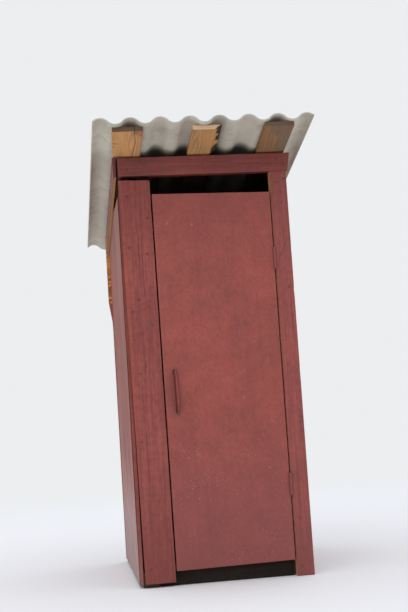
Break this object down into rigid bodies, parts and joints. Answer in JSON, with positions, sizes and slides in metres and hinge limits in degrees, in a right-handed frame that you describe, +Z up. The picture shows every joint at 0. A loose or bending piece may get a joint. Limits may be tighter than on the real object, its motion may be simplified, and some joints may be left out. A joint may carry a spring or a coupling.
{
  "type": "wooden outhouse",
  "caption": "Small upright plank outhouse with a sloping corrugated roof sheet on loose boards, a vent gap over the door and an outward-opening hinged door with a pull handle.",
  "frame": {"origin": "on the ground, under the middle of the roof sheet's plan", "axes": "+X to the right and +Y to the back when facing the door, +Z up"},
  "size_m": [1.1294, 1.7201, 2.3493],
  "materials": {
    "red_paint": "satin red-brown oil paint on planed boards",
    "door_paint": "satin red-brown oil paint on a smooth sheet",
    "bare_timber": "bare softwood, sawn",
    "weathered_timber": "bare softwood, browned by weather",
    "fibre_cement": "matt grey-beige fibre cement",
    "painted_iron": "steel painted over with the door paint",
    "bare_iron": "dark weathered steel"
  },
  "bodies": {
    "building": {"back_beam": "bare_timber", "back_girt": "bare_timber", "back_sill": "bare_timber", "back_wall_boards": "red_paint", "floor_boards": "bare_timber", "front_board": "red_paint", "front_sill": "bare_timber", "left_back_post": "bare_timber", "left_door_post": "bare_timber", "left_eaves_rail": "red_paint", "left_front_post": "bare_timber", "left_girt": "bare_timber", "left_sill": "bare_timber", "left_top_plank": "bare_timber", "left_wall_boards": "red_paint", "lintel": "red_paint", "lower_hinge_jamb": "painted_iron", "lower_hinge_pin": "bare_iron", "right_back_post": "bare_timber", "right_eaves_rail": "red_paint", "right_girt": "bare_timber", "right_jamb": "red_paint", "right_sill": "bare_timber", "right_top_plank": "bare_timber", "right_wall_boards": "red_paint", "roof_board_left": "bare_timber", "roof_board_middle": "bare_timber", "roof_board_right": "weathered_timber", "roof_sheet": "fibre_cement", "upper_hinge_jamb": "painted_iron", "upper_hinge_pin": "bare_iron"},
    "door": {"door_rail_bottom": "bare_timber", "door_rail_middle": "bare_timber", "door_rail_top": "bare_timber", "door_sheet": "door_paint", "door_stile_left": "bare_timber", "door_stile_right": "bare_timber", "lower_hinge_door": "painted_iron", "pull_handle": "painted_iron", "upper_hinge_door": "painted_iron"}
  },
  "joints": [
    {"name": "door_hinge", "type": "hinge", "parent": "building", "child": "door", "pos_m": [0.3565, -0.56238, 1.059], "axis": [0, 0, 1], "range_deg": [0, 170]}
  ]
}
